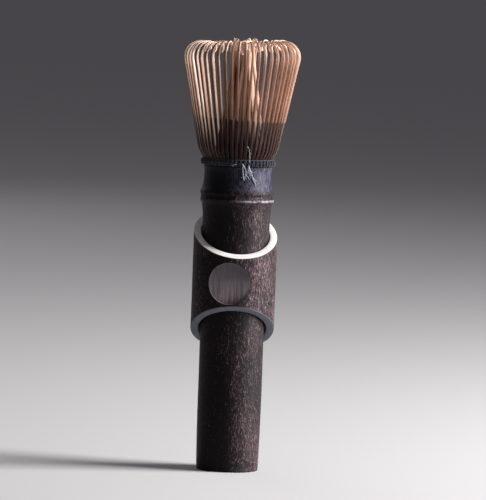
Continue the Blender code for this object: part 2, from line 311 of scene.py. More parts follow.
def bared_flat():
    """Bamboo planed along its fibres, painted grey as shade: upright streaks, plainest below,
    with a paler rim as a painted highlight.
    """
    look = Finish("planed_flat")
    place = look.place()
    bundles = look.noise(look.stretched(place, 2.0, 0.06), 1.0, 3.0, 0.5)
    fibres = look.noise(look.stretched(place, 5.0, 0.20), 1.0, 3.0, 0.6)
    stain = look.noise(look.stretched(place, 0.14, 0.12), 1.0, 3.0)
    # painted shade: pale raw bamboo given grey tones, darker towards the top as under the
    # recess's upper lip
    low = look.span(look.weighted((look.part(place, 2), 1.0), (bundles, 5.0)), *FLAT_SHADE)
    ground = look.mix(low, (0.270, 0.220, 0.225), (0.105, 0.087, 0.104))
    streaks = look.mix(low, look.ramp(bundles, (0.46, 0.0), (0.60, 0.9)),
                       look.ramp(bundles, (0.48, 0.0), (0.75, 0.35)))
    colour = look.mix(streaks, ground, (0.052, 0.036, 0.036))
    colour = look.mix(look.ramp(fibres, (0.54, 0.0), (0.76, 0.50)), colour,
                      (0.285, 0.240, 0.235))
    colour = look.mix(look.ramp(stain, (0.45, 0.0), (0.75, 0.4)), colour, (0.075, 0.062, 0.070))
    # painted highlight: a paler rim just inside the flat's edge
    rim = look.span(from_flat(look), 7.75, 8.15)
    colour = look.mix(look.times(rim, 0.30), colour, (0.260, 0.230, 0.235))
    look.set(Base_Color=colour, Roughness=look.span(fibres, 0.3, 0.7, 0.5, 0.72),
             Normal=look.bump(look.plus(bundles, fibres), 0.00014, 0.8))
    return look.material


def bore_wall():
    """The inside of a culm: papery, brown, with faint rings of lining."""
    look = Finish("culm_lining")
    place = look.place()
    fibres = look.noise(look.stretched(place, 3.0, 0.10), 1.0, 3.0)
    patches = look.noise(place, 0.25, 4.0)
    colour = look.mix(look.times(fibres, patches), (0.330, 0.225, 0.160),
                      (0.110, 0.066, 0.048))
    look.set(Base_Color=colour, Roughness=0.78, Normal=look.bump(fibres, 0.00008, 0.6))
    return look.material


def split_bamboo(name, pale, brown, depth, root_shade, spared_shade=0.0):
    """Split and shaved bamboo. The `fibre` attribute holds (across, in, height); `tone` darkens.

    `depth` is how strongly the fibres show and `root_shade` how dark the roots are painted as
    shade.
    The palest strips are `spared_shade` that share of the painted shade.
    """
    look = Finish(name)
    fibre = look.fibre_place()
    tone = look.node("Attribute", "Fac", attribute_name="tone")
    height = look.part(fibre, 2)
    lines = look.noise(look.stretched(fibre, 4.5, 0.09), 1.0, 3.0, 0.6)
    patches = look.noise(look.stretched(fibre, 0.8, 0.14), 1.0, 3.0)
    ground = look.mix(tone, pale, brown)
    colour = look.mix(look.ramp(lines, (0.42, 0.0), (0.66, depth)), ground,
                      tuple(c * 0.8 for c in brown))
    colour = look.mix(look.ramp(patches, (0.50, 0.0), (0.80, 0.55)), colour,
                      tuple(c * 0.6 for c in brown))
    colour = look.mix(look.span(height, *CLEAN_TIPS, 0.0, 0.6), colour, pale)
    # painted shade: the foot of the split tines, among and behind the other tines, is painted
    # darker
    root_shade_mask = look.times(look.span(height, *SHADED_ROOTS, root_shade, 0.0),
                         look.ramp(tone, (0.22, 1.0 - spared_shade), (0.40, 1.0)))
    colour = look.mix(root_shade_mask, colour, (brown[0] * 0.13, brown[1] * 0.09, brown[2] * 0.10))
    look.fibre, look.height, look.lines, look.colour = fibre, height, lines, colour
    look.set(Base_Color=colour, Roughness=look.span(lines, 0.3, 0.7, 0.40, 0.62),
             Normal=look.bump(lines, 0.00006, 0.8))
    look.shader.inputs["Specular IOR Level"].default_value = 0.14
    return look


def tine_outer_face():
    """The outer face: smoked skin up to a scraped, slightly slanting line, shaved flesh above."""
    look = split_bamboo("tine_outer_face", (0.365, 0.187, 0.124), (0.130, 0.052, 0.030), 0.75,
                        0.70)
    ragged = look.noise(look.stretched(look.fibre, 1.2, 0.2), 1.0, 2.0)
    edge = look.weighted((look.height, 1.0), (look.part(look.place(), 0), SKIN_TILT),
                         (ragged, 1.6))
    skin = look.span(edge, SKIN_TOP + 0.4, SKIN_TOP + 1.1, 1.0, 0.0)
    smoked = look.mix(look.ramp(look.lines, (0.40, 0.0), (0.64, 1.0)),
                      (0.0024, 0.0012, 0.0015), (0.0330, 0.0112, 0.0092))
    look.set(Base_Color=look.mix(skin, look.colour, smoked))
    return look.material


def cotton(name, dark, light):
    """Twisted thread: plies wind round it, with fibres standing off as sheen."""
    look = Finish(name)
    fibre = look.fibre_place()
    plies = look.node("TexWave", "Fac", {
        "Vector": look.node("Mapping", 0, {"Vector": fibre, "Rotation": (0.0, 0.0, 0.7)}),
        "Scale": 1.1, "Distortion": 1.5, "Detail": 2.0})
    fuzz = look.noise(fibre, 4.0, 4.0, 0.7)
    colour = look.mix(look.times(plies, fuzz), dark, light)
    look.set(Base_Color=colour, Roughness=0.88,
             Normal=look.bump(look.plus(plies, fuzz), 0.0001, 0.8))
    look.shader.inputs["Sheen Weight"].default_value = 0.15
    look.shader.inputs["Sheen Roughness"].default_value = 0.45
    look.shader.inputs["Sheen Tint"].default_value = (0.55, 0.60, 0.75, 1.0)
    return look.material


# --- mesh helpers -----------------------------------------------------------------------------
def make_piece(name, bm, materials, smooth_angle=40.0):
    """An object from a bmesh, smooth but for edges sharper than the angle, in degrees."""
    bmesh.ops.recalc_face_normals(bm, faces=bm.faces)
    mesh = bpy.data.meshes.new(name)
    bm.to_mesh(mesh)
    bm.free()
    mesh.shade_smooth()
    mesh.set_sharp_from_angle(angle=math.radians(smooth_angle))
    for material in materials:
        mesh.materials.append(material)
    piece = bpy.data.objects.new(name, mesh)
    bpy.context.scene.collection.objects.link(piece)
    return piece


def join_rings(bm, first, second, slots=None):
    """Faces between two closed rings; `slots` holds a material slot for each."""
    for k in range(len(first)):
        n = (k + 1) % len(first)
        face = bm.faces.new((first[k], first[n], second[n], second[k]))
        if slots:
            face.material_index = slots[k]


def catmull_rom(points, steps):
    """A smooth curve through Vectors, `steps` to each interval."""
    ends = [2 * points[0] - points[1], *points, 2 * points[-1] - points[-2]]
    line = []
    for a, b, c, d in zip(ends, ends[1:], ends[2:], ends[3:]):
        for k in range(steps):
            t = k / steps
            line.append(0.5 * (2 * b + (c - a) * t + (2 * a - 5 * b + 4 * c - d) * t * t
                               + (3 * b - a - 3 * c + d) * t ** 3))
    return [*line, points[-1].copy()]


class Layers:
    """The `fibre` and `tone` attributes that the split bamboo and cotton finishes read."""

    def __init__(self, bm):
        self.bm = bm
        self.fibre = bm.verts.layers.float_vector.new("fibre")
        self.tone = bm.verts.layers.float.new("tone")

    def vert(self, place, fibre, tone=0.0):
        made = self.bm.verts.new(place)
        made[self.fibre] = fibre
        made[self.tone] = tone
        return made


# --- the culm ---------------------------------------------------------------------------------
CULM_SIDES = 160
HANDLE_STEP, NODE_STEP = 2.0 * MM, 0.35 * MM    # ring spacing on the handle and at the node
NODE_ZONE = 104.0 * MM
NODE_MIDDLE, NODE_SPREAD = 110.1 * MM, 2.6 * MM
OUTSIDE = 11.0 * MM                 # every ring wider than this is on the culm's outside
BORE, CUP = 7.0 * MM, 9.5 * MM
BORE_TOP, CUP_FLOOR = 105.6 * MM, 113.5 * MM    # the wall inside the node lies between these
FOOT_EDGE = 0.55 * MM


def outside_of_culm():
    """(heights, radii) up the outside, read from the CAD node."""
    co = points_of("culm")
    radius = np.hypot(co[:, 0], co[:, 1])
    widest = {}
    for r, z in zip(radius, co[:, 2]):
        key = round(float(z), 5)
        if r > OUTSIDE:
            widest[key] = max(widest.get(key, 0.0), float(r))
    heights = sorted(widest)
    return np.array(heights), np.array([widest[h] for h in heights])


def culm_relief(turn, height):
    """How far the outside stands off its turned outline: a hand-cut, slightly uneven culm."""
    across, up = math.cos(turn), math.sin(turn)
    soft = wander(across * 1.3, up * 1.3, height / (22 * MM)) * 0.10 * MM
    flutes = wander(across * 9.0, up * 9.0, height / (40 * MM)) * 0.035 * MM
    near_node = math.exp(-((height - NODE_MIDDLE) / NODE_SPREAD) ** 2)
    ring = wander(across * 3.5, up * 3.5, height / (1.5 * MM)) * 0.16 * MM * near_node
    return soft + flutes + ring


def culm_bands():
    """(finish, rings) from the bore's top, round the foot, up the outside and down into the cup.

    A ring is (radius, height), and its band's finish covers the faces that follow it.
    """
    skin, sawn, lining = 0, 1, 2
    known_heights, known_radii = outside_of_culm()
    heights = [*np.arange(0.6 * MM, NODE_ZONE, HANDLE_STEP),
               *np.arange(NODE_ZONE, RIM_HEIGHT - NODE_STEP / 2, NODE_STEP), RIM_HEIGHT]
    around = (-0.3 * MM, 0.0, 0.3 * MM)    # readings averaged to soften the CAD outline's corners
    outside = [(float(np.mean([np.interp(h + d, known_heights, known_radii) for d in around])), h)
               for h in heights]
    foot_edge = [(known_radii[0] + FOOT_EDGE * math.sin(a), FOOT_EDGE * (1 - math.cos(a)))
                 for a in (0.0, 0.4, 0.8, 1.2)]
    bore = [(BORE * 0.5, 105.5 * MM), (BORE * 0.9, 103.8 * MM), (BORE, 102.0 * MM),
            (BORE, 60.0 * MM), (BORE, 20.0 * MM), (BORE, 0.6 * MM)]
    foot = [(BORE + 0.3 * MM, 0.0), (9.5 * MM, 0.0)]
    cup = [(CUP, RIM_HEIGHT), (CUP, 118.0 * MM), (CUP - 0.6 * MM, 114.6 * MM),
           (CUP * 0.5, 113.7 * MM)]
    return [(lining, bore), (sawn, foot), (skin, [*foot_edge, *outside[:-1]]),
            (sawn, outside[-1:]), (lining, cup)]


def make_culm():
    """The culm as rings about its axis, closed by the wall inside the node."""
    bm = bmesh.new()
    rings, finishes = [], []
    for finish, outline in culm_bands():
        for radius, height in outline:
            uneven_here = radius > OUTSIDE and height > 0.0
            ring = []
            for k in range(CULM_SIDES):
                turn = 2 * math.pi * k / CULM_SIDES
                r = radius + (culm_relief(turn, height) if uneven_here else 0.0)
                ring.append(bm.verts.new(polar(r, turn, height)))
            rings.append(ring)
            finishes.append(finish)
    for first, second, finish in zip(rings, rings[1:], finishes):
        join_rings(bm, first, second, [finish] * CULM_SIDES)
    for ring, height in ((rings[0], BORE_TOP), (rings[-1], CUP_FLOOR)):
        pole = bm.verts.new((0.0, 0.0, height))
        for k in range(CULM_SIDES):
            face = bm.faces.new((pole, ring[k], ring[(k + 1) % CULM_SIDES]))
            face.material_index = finishes[-1]
    sawn = sawn_end("sawn_foot", (0.46, 0.33, 0.23), (0.16, 0.09, 0.06), 12.4, BORE / MM)
    piece = make_piece("culm_body", bm, [culm_skin(), sawn, bore_wall()], 50.0)
    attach(piece, "culm")
    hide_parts("culm")


# --- the collar -------------------------------------------------------------------------------
COLLAR_SIDES = 224
COLLAR_ROWS = 30
CAD_COLLAR_SIDES = 64
MOUTH_FLARE = 0.35 * MM             # how much wider the bore is at its highest point
EDGE_ROUND = 0.32 * MM
FLAT_SIDES = 260
FLAT_SLOT = 3                       # the planed finish among the collar's materials


def cut_planes():
    """(a, b, c) of the planes z = a + b x + c y of the top and bottom cuts, from the CAD node."""
    co = points_of("collar")
    turns = np.round(np.arctan2(co[:, 1], co[:, 0]) / math.radians(360 / CAD_COLLAR_SIDES))
    planes = []
    for side in (1, -1):
        columns = [co[turns == turn] for turn in np.unique(turns)]
        ends = np.array([column[(side * column[:, 2]).argmax()] for column in columns])
        flat = np.column_stack([np.ones(len(ends)), ends[:, :2]])
        planes.append(np.linalg.lstsq(flat, ends[:, 2], rcond=None)[0])
    return planes


def collar_relief(turn, height):
    """How far the collar's outside stands off its turned outline."""
    across, up = math.cos(turn), math.sin(turn)
    soft = wander(across * 1.6 + 5.0, up * 1.6, height / (18 * MM)) * 0.10 * MM
    return soft + wander(across * 11.0, up * 11.0, height / (30 * MM)) * 0.03 * MM


def cut_along(plane, turn):
    """A slant cut seen along one direction: a function from radius to height."""
    across, up = math.cos(turn), math.sin(turn)
    saw = 0.05 * MM * wander(across * 4, up * 4, 7.0)
    return lambda r: plane[0] + r * (plane[1] * across + plane[2] * up) + saw


def across_cut(cut, outer, inner, corner_side):
    """(radius, height) along a cut from outside to inside, with its corners rounded.

    `corner_side` is -1 where the corners are below the cut and 1 where they are above it.
    """
    corner = [(0.0, 1.0), (0.29, 0.29), (1.0, 0.0)]    # (in from the side, off the cut)
    line = [(outer - EDGE_ROUND * into, EDGE_ROUND * off) for into, off in corner[1:]]
    line += [(outer + (inner - outer) * share, 0.0) for share in (0.33, 0.66)]
    line += [(inner + EDGE_ROUND * into, EDGE_ROUND * off) for into, off in reversed(corner)]
    return [(r, cut(r) + corner_side * off) for r, off in line]


def collar_section(turn, outer, bore, mouth, top, bottom):
    """(radius, height, finish) round the wall; top and bottom give a cut's height at a radius."""
    # the last finish is the underside cut, painted as shade
    skin, sawn, lining, shaded_underside = 0, 1, 2, 4
    low_z, high_z = bottom(outer) + EDGE_ROUND, top(outer) - EDGE_ROUND
    section = []
    for n in range(COLLAR_ROWS + 1):
        z = low_z + (high_z - low_z) * n / COLLAR_ROWS
        section.append((outer - 0.05 * MM + collar_relief(turn, z), z, skin))
    section += [(r, z, sawn) for r, z in across_cut(top, outer, mouth, -1)]
    for share in (0.75, 0.5, 0.25):
        r = bore + (mouth - bore) * share
        z = bottom(bore) + (top(mouth) - bottom(bore)) * share
        uneven_wall = wander(math.cos(turn) * 3, math.sin(turn) * 3, z / (9 * MM))
        section.append((r + 0.04 * MM * uneven_wall, z, lining))
    return section + [(r, z, shaded_underside) for r, z in reversed(across_cut(bottom, outer, bore, 1))]


def make_collar():
    """The collar's wall, turned section by section, with both ends cut at a slant."""
    top_plane, bottom_plane = cut_planes()
    outer = COLLAR_RADIUS
    co = points_of("collar")
    bore = float(np.hypot(co[:, 0], co[:, 1]).min())
    long_side = math.atan2(top_plane[2], top_plane[1])
    bm = bmesh.new()
    rings = []
    for k in range(COLLAR_SIDES):
        turn = 2 * math.pi * k / COLLAR_SIDES
        mouth = bore + MOUTH_FLARE * (0.5 + 0.5 * math.cos(turn - long_side))
        section = collar_section(turn, outer, bore, mouth, cut_along(top_plane, turn),
                                 cut_along(bottom_plane, turn))
        slots = [finish for _, _, finish in section]
        rings.append([bm.verts.new(polar(r, turn, z)) for r, z, _ in section])
    for first, second in zip(rings, [*rings[1:], rings[0]]):
        join_rings(bm, first, second, slots)
    wall = (outer / MM, bore / MM)
    materials = [
        collar_skin(),
        sawn_end("sawn_collar_end", (0.91, 0.88, 0.86), (0.60, 0.50, 0.42), *wall),
        bore_wall(), bared_flat(),
        # painted shade: the underside cut is the top's sawn bamboo painted dark grey-blue, as
        # shade with a bluish painted reflection from below
        sawn_end("shaded_collar_underside", (0.120, 0.128, 0.168), (0.060, 0.058, 0.070), *wall)]
    piece = make_piece("collar_ring", bm, materials)
    cut_flat(piece)
    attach(piece, "collar")
    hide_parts("collar")


def cut_flat(piece):
    """The round flat on the short side, bored with a slightly ragged edge."""
    facing = Vector((math.sin(FLAT_AZIMUTH), -math.cos(FLAT_AZIMUTH), 0.0))
    side = Vector((-facing.y, facing.x, 0.0))
    bm = bmesh.new()
    rings = []
    for far in (FLAT_DISTANCE, COLLAR_RADIUS + 3 * MM):
        ring = []
        for k in range(FLAT_SIDES):
            turn = 2 * math.pi * k / FLAT_SIDES
            ragged = wander(k * 0.9, 3.1) * 0.07 * MM + wander(k * 0.23, 9.0) * 0.09 * MM
            r = FLAT_RADIUS + ragged
            ring.append(bm.verts.new(facing * far + side * r * math.cos(turn)
                                     + Vector((0, 0, FLAT_HEIGHT + r * math.sin(turn)))))
        rings.append(ring)
    join_rings(bm, rings[0], rings[1])
    bm.faces.new(rings[0])
    bm.faces.new(rings[1])
    cutter = make_piece("flat_cutter", bm, [])
    bored = piece.modifiers.new("flat", "BOOLEAN")
    bored.operation, bored.solver, bored.object = "DIFFERENCE", "EXACT", cutter
    evaluated = piece.evaluated_get(bpy.context.evaluated_depsgraph_get())
    mesh = bpy.data.meshes.new_from_object(evaluated)
    piece.modifiers.clear()
    piece.data = mesh
    bpy.data.objects.remove(cutter)
    for face in mesh.polygons:
        away = face.center.dot(facing)
        aside = (face.center - facing * away - Vector((0, 0, FLAT_HEIGHT))).length
        slope = face.normal.dot(facing)
        on_flat = (0 < away < FLAT_DISTANCE + 0.01 * MM and aside < FLAT_RADIUS + 0.3 * MM
                   and slope > 0.99)
        on_edge = (0 < away < COLLAR_RADIUS - 0.02 * MM
                   and abs(aside - FLAT_RADIUS) < 0.3 * MM and abs(slope) < 0.35)
        if on_flat or on_edge:
            face.material_index = FLAT_SLOT
    mesh.shade_smooth()
    mesh.set_sharp_from_angle(angle=math.radians(35))


# --- tines ------------------------------------------------------------------------------------
FLANK_SLOPE = math.radians(11.5)
CURL_RADIUS = 6.5 * MM
HOOK_RADIUS = 2.4 * MM
ROOT_PULL, ROOT_PULL_HEIGHT = 1.5 * MM, 5.0 * MM
ROOT_SINK = 0.5 * MM                # the visible tine starts inside the culm's rim
HOOK_TURN, HOOK_SPREAD = math.radians(128.0), math.radians(24.0)
FLANK_STEPS, CURL_STEPS, HOOK_STEPS = 20, 12, 9


def tine_plan(node):
    """(azimuth, sideways lean, top height, widest radius, root height) from joint and mesh."""
    joint = joints[node + "_flex"]
    azimuth = math.atan2(joint["pos_m"][1], joint["pos_m"][0])
    co = points_of(node)
    radial = co[:, 0] * math.cos(azimuth) + co[:, 1] * math.sin(azimuth)
    sideways = co[:, 1] * math.cos(azimuth) - co[:, 0] * math.sin(azimuth)
    widest = int(radial.argmax())
    same = np.abs(radial - radial[widest]) < 0.05 * MM
    lean = float(sideways[same].mean()) / float(radial[widest])
    return azimuth, lean, float(co[:, 2].max()), float(radial.max()), float(co[:, 2].min())


def tine_face(top, widest, root, hook_turn):
    """The outer face as (radius, height, heading); heading 0 is up, positive is inwards."""
    centre_r, centre_z = widest - CURL_RADIUS, top - CURL_RADIUS
    start_r = centre_r + CURL_RADIUS * math.cos(FLANK_SLOPE)
    start_z = centre_z - CURL_RADIUS * math.sin(FLANK_SLOPE)

    def flank_radius(height):
        pull = ROOT_PULL * math.exp(-(max(0.0, height - root) / ROOT_PULL_HEIGHT) ** 4)
        return start_r - (start_z - height) * math.tan(FLANK_SLOPE) - pull

    points = []
    low = root - ROOT_SINK
    for k in range(FLANK_STEPS):
        height = low + (start_z - low) * (k / FLANK_STEPS) ** 1.25
        slope = (flank_radius(height + 0.1 * MM) - flank_radius(height - 0.1 * MM)) / (0.2 * MM)
        points.append((flank_radius(height), height, -math.atan(slope)))
    for k in range(CURL_STEPS + 1):
        heading = -FLANK_SLOPE + (math.pi / 2 + FLANK_SLOPE) * k / CURL_STEPS
        points.append((centre_r + CURL_RADIUS * math.cos(heading),
                       centre_z + CURL_RADIUS * math.sin(heading), heading))
    hook_z = centre_z + CURL_RADIUS - HOOK_RADIUS
    for k in range(1, HOOK_STEPS + 1):
        heading = math.pi / 2 + hook_turn * k / HOOK_STEPS
        points.append((centre_r + HOOK_RADIUS * math.cos(heading),
                       hook_z + HOOK_RADIUS * math.sin(heading), heading))
    return points


def strip_section(width, thick):
    """A rounded strip's section as (across, in from the outer face)."""
    edge = min(0.12 * thick, 0.08 * width)
    half = width / 2
    return [(-half + edge, 0.0), (half - edge, 0.0), (half, edge), (half, thick - edge),
            (half - edge, thick), (-half + edge, thick), (-half, thick - edge), (-half, edge)]


def strip(bm, layers, stations, seed, tone):
    """A tapering strip of bamboo. A station is (place, across, inwards, width, thickness)."""
    outer, other = 0, 1
    rings = [[layers.vert(place + across * a + inwards * n,
                          (a + seed * 37.0 * MM, n + seed * 11.0 * MM, place.z), tone)
              for a, n in strip_section(width, thick)]
             for place, across, inwards, width, thick in stations]
    slots = [outer, outer, *[other] * 5, outer]
    for first, second in zip(rings, rings[1:]):
        join_rings(bm, first, second, slots)
    for ring in (rings[0], rings[-1]):
        bm.faces.new(ring).material_index = other


def taper(root, turn, tip, share):
    """A measure that goes from root to turn over most of a strip, and on to tip."""
    bend = 0.7
    if share < bend:
        return root + (turn - root) * share / bend
    return turn + (tip - turn) * (share - bend) / (1.0 - bend)


def make_outer_tine(node, index, materials):
    """One outer tine, a little wavy and twisted, bending from the thread up."""
    azimuth, lean, top, widest, root = tine_plan(node)
    face = tine_face(top, widest, root, HOOK_TURN + HOOK_SPREAD * uneven(index, 4))
    runs = np.cumsum([0.0] + [math.dist(a[:2], b[:2]) for a, b in zip(face, face[1:])])
    out = polar(1.0, azimuth, 0.0)
    across = Vector((-math.sin(azimuth), math.cos(azimuth), 0.0))
    up = Vector((0.0, 0.0, 1.0))
    root_width = 1.22 + 0.06 * uneven(index, 5)
    turn_width = 0.98 + 0.14 * uneven(index, 6)
    roll = math.radians(16.0) * uneven(index, 7)
    stations = []
    for k, (radius, height, heading) in enumerate(face):
        share = runs[k] / runs[-1]
        wave = share * (1.0 - 0.5 * share)
        sideways = radius * lean * share \
            + 0.22 * MM * wave * wander(index * 3.7, height / (15 * MM), 1.0)
        in_out = 0.18 * MM * wave * wander(index * 5.1, height / (18 * MM), 4.0)
        twist = roll * share * share + 0.25 * share * wander(index * 2.3, height / (20 * MM), 8.0)
        inwards = -out * math.cos(heading) - up * math.sin(heading)
        side = across * math.cos(twist) + inwards * math.sin(twist)
        inward = inwards * math.cos(twist) - across * math.sin(twist)
        width = taper(root_width, turn_width, 0.80, share) * MM
        thick = taper(0.76, 0.64 + 0.08 * uneven(index, 8), 0.42, share) * MM
        stations.append((out * (radius + in_out) + across * sideways + up * height,
                         side, inward, width, thick))
    bm = bmesh.new()
    layers = Layers(bm)
    strip(bm, layers, stations, index, 0.5 + 0.5 * uneven(index, 9))
    piece = make_piece(f"outer_{node}", bm, materials, 50.0)
    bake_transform(piece)
    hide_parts(node)


INNER_COUNT = 52
INNER_ROOT_RADIUS = 10.9 * MM
GATHER_RADIUS = 3.9 * MM
INNER_STEPS = 16

# strays in front of the bundle: (width, tone, places up the strand), in millimetres
STRAYS = [
    (2.30, 0.00, [(6.6, -8.4, 130.0), (6.0, -8.0, 142.0), (4.8, -7.6, 152.0), (3.7, -6.9, 161.0),
                  (3.2, -5.6, 168.0), (2.2, -4.0, 171.6), (1.0, -3.2, 170.0)]),
    (1.40, 0.00, [(9.4, -7.4, 132.0), (7.8, -7.0, 144.0), (6.5, -6.6, 153.0), (5.2, -5.9, 162.0),
                  (4.4, -4.6, 169.0), (3.4, -3.2, 171.8), (2.6, -2.6, 170.4)]),
    (0.45, 0.00, [(-0.6, -6.8, 140.0), (-0.5, -6.4, 150.0), (-0.4, -6.1, 157.0),
                  (0.8, -5.6, 163.0), (2.0, -4.8, 168.0), (3.0, -3.8, 171.0)]),
    (0.40, 0.10, [(-1.6, -3.0, 171.0), (-0.4, -3.8, 170.3), (0.9, -4.0, 170.1),
                  (2.2, -3.6, 170.9)]),
]
KNOT_CURLS = 30
KNOT_STEPS = 12
KNOT_MIDDLE = Vector((2.4, -5.4, 169.8)) * MM    # the tangle of tips at the front right


def knot_curl(n):
    """An open loop of tip bamboo somewhere in the tangle."""
    middle = KNOT_MIDDLE + Vector((3.0 * uneven(n, 60), 2.4 * uneven(n, 61),
                                   1.3 * uneven(n, 62))) * MM
    radius = (1.65 + 0.50 * uneven(n, 63)) * MM
    yaw, start = math.pi * uneven(n, 64), math.radians(-40.0 + 50.0 * uneven(n, 65))
    flat = polar(1.0, yaw, 0.0)
    points = []
    for k in range(KNOT_STEPS + 1):
        turn = start + math.radians(250.0) * k / KNOT_STEPS
        tight = radius * (1.0 - 0.35 * k / KNOT_STEPS)
        points.append(middle + flat * tight * math.cos(turn)
                      + Vector((0.0, 0.0, tight * math.sin(turn))))
    return points


def inner_light_and_shade(azimuth, n):
    """Painted light and shade: inner tines toward the lit front right are painted paler, the rest
    darker, with some random tone.
    """
    paler = max(0.0, math.cos(azimuth - math.radians(-55.0)))
    return min(1.0, max(0.0, 0.88 - 0.62 * paler + 0.42 * uneven(n, 30)))


def inner_radius(share):
    """Radius of the gathered cone at a share of its height."""
    return GATHER_RADIUS + (INNER_ROOT_RADIUS - GATHER_RADIUS) * (1.0 - share) ** 1.9


def tip_curl(place, heading, toward, radius, turn, steps):
    """Points of a curl that starts at place, along heading, bending toward a side."""
    points = []
    for k in range(1, steps + 1):
        a = turn * k / steps
        tight = radius * (1.0 - 0.45 * k / steps)
        points.append(place + heading * tight * math.sin(a) + toward * tight * (1 - math.cos(a)))
    return points


def stations_along(points, middle, widths, thicks):
    """Stations of a strip whose broad face looks away from the axis through `middle`."""
    stations = []
    runs = np.cumsum([0.0] + [(b - a).length for a, b in zip(points, points[1:])])
    side = None
    for k, place in enumerate(points):
        ahead = (points[min(k + 1, len(points) - 1)] - points[max(k - 1, 0)]).normalized()
        if side is None:
            out = Vector((place.x - middle.x, place.y - middle.y, 0.0)).normalized()
            side = out.cross(ahead).normalized()
        side = (side - ahead * side.dot(ahead)).normalized()
        inward = side.cross(ahead) * -1.0
        share = runs[k] / runs[-1]
        stations.append((place, side, -inward, taper(*widths, share), taper(*thicks, share)))
    return stations


def make_inner_tines(materials):
    """The inner strands, drawn together towards the top, with strays and a tangle of tips."""
    low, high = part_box("inner_tines")
    drift = Vector((1.1 * MM, 0.0, 0.0))
    root = low.z
    bm = bmesh.new()
    layers = Layers(bm)
    for n in range(INNER_COUNT):
        azimuth = 2 * math.pi * (n + 0.5 + 0.25 * uneven(n, 21)) / INNER_COUNT
        twist = math.radians(26.0) * uneven(n, 22)
        spread = 1.0 + 0.30 * uneven(n, 23)
        reach = high.z - (2.6 + 2.0 * uneven(n, 24)) * MM
        points = []
        for k in range(INNER_STEPS + 1):
            share = k / INNER_STEPS
            height = root - 0.3 * MM + (reach - root) * share
            whole = (height - root) / (high.z - root)
            radius = inner_radius(max(0.0, whole)) * (1 + (spread - 1) * share)
            turn = azimuth + twist * share ** 2
            bow = 0.35 * MM * math.sin(math.pi * share) * wander(n * 2.9, share * 3.0, 2.0)
            points.append(Vector((
                drift.x * whole ** 2 + (radius + bow) * math.cos(turn),
                (radius + bow) * math.sin(turn), height)))
        heading = (points[-1] - points[-2]).normalized()
        inward = Vector((drift.x - points[-1].x, -points[-1].y, 0.0)).normalized()
        swirl = Vector((-inward.y, inward.x, 0.0))
        toward = (inward * (0.7 + 0.5 * uneven(n, 25)) + swirl * uneven(n, 26)).normalized()
        curl = (1.3 + 0.5 * uneven(n, 27)) * MM
        points += tip_curl(points[-1], heading, toward, curl,
                           math.radians(150.0 + 60.0 * uneven(n, 28)), 9)
        wide = (1.12 + 0.12 * uneven(n, 29)) * MM
        strip(bm, layers, stations_along(
            points, drift, (wide, 0.62 * MM, 0.34 * MM), (0.8 * MM, 0.45 * MM, 0.24 * MM)),
            n + 60, inner_light_and_shade(azimuth, n))
    for n, (wide, tone, places) in enumerate(STRAYS):
        points = catmull_rom([Vector(place) * MM for place in places], 5)
        strip(bm, layers, stations_along(
            points, drift, (wide * MM, wide * MM, 0.4 * wide * MM),
            (0.6 * MM, 0.4 * MM, 0.25 * MM)), n + 120, tone)
    for n in range(KNOT_CURLS):
        curl = knot_curl(n)
        strip(bm, layers, stations_along(
            curl, drift, (0.80 * MM, 0.72 * MM, 0.45 * MM), (0.36 * MM, 0.32 * MM, 0.22 * MM)),
            n + 140, 0.10 + 0.10 * uneven(n, 66))
    piece = make_piece("inner_tine_bundle", bm, materials, 50.0)
    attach(piece, "culm")
    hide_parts("inner_tines")


# --- thread -----------------------------------------------------------------------------------
def tube(bm, layers, route, radius, sides, closed=False):
    """A round thread along Vectors; `radius` is a number or one number for each point."""
    count = len(route)
    radii = radius if isinstance(radius, list) else [radius] * count
    rings, along = [], 0.0
    side = None
    for k, place in enumerate(route):
        before = route[k - 1] if k or closed else route[0]
        after = route[(k + 1) % count] if k < count - 1 or closed else route[-1]
        ahead = (after - before).normalized()
        if side is None:
            side = ahead.orthogonal().normalized()
        side = (side - ahead * side.dot(ahead)).normalized()
        other = ahead.cross(side)
        along += (place - route[k - 1]).length if k else 0.0
        ring = []
        for n in range(sides):
            a = 2 * math.pi * n / sides
            ring.append(layers.vert(
                place + radii[k] * (math.cos(a) * side + math.sin(a) * other),
                (along, a * radii[k], 0.0)))
        rings.append(ring)
    for first, second in zip(rings, rings[1:]):
        join_rings(bm, first, second)
    if closed:
        # the last ring meets the first one wherever its corners come nearest
        shift = min(range(sides), key=lambda s: (rings[-1][0].co - rings[0][s].co).length)
        join_rings(bm, rings[-1], rings[0][shift:] + rings[0][:shift])
    else:
        bm.faces.new(rings[0])
        bm.faces.new(rings[-1])


STRAND_RADIUS = 0.21 * MM
ROUND_STEPS = 208
# a turn of thread over a tine: (out from the crest, up from the middle), in millimetres
TURN_OVER = [(-1.15, -0.85), (-0.50, -1.10), (-0.06, -0.78), (0.0, 0.0), (-0.08, 0.72),
             (-0.55, 1.02), (-1.20, 0.90)]


def level_ring(bm, layers, radius, height, thick, sides):
    """One level turn of thread of radius `thick`, with a little slack in it."""
    route = []
    for k in range(ROUND_STEPS):
        turn = 2 * math.pi * k / ROUND_STEPS
        slack = 0.07 * MM * wander(math.cos(turn) * 6, math.sin(turn) * 6, height / MM)
        route.append(polar(radius, turn, height + slack))
    tube(bm, layers, route, thick, sides, closed=True)


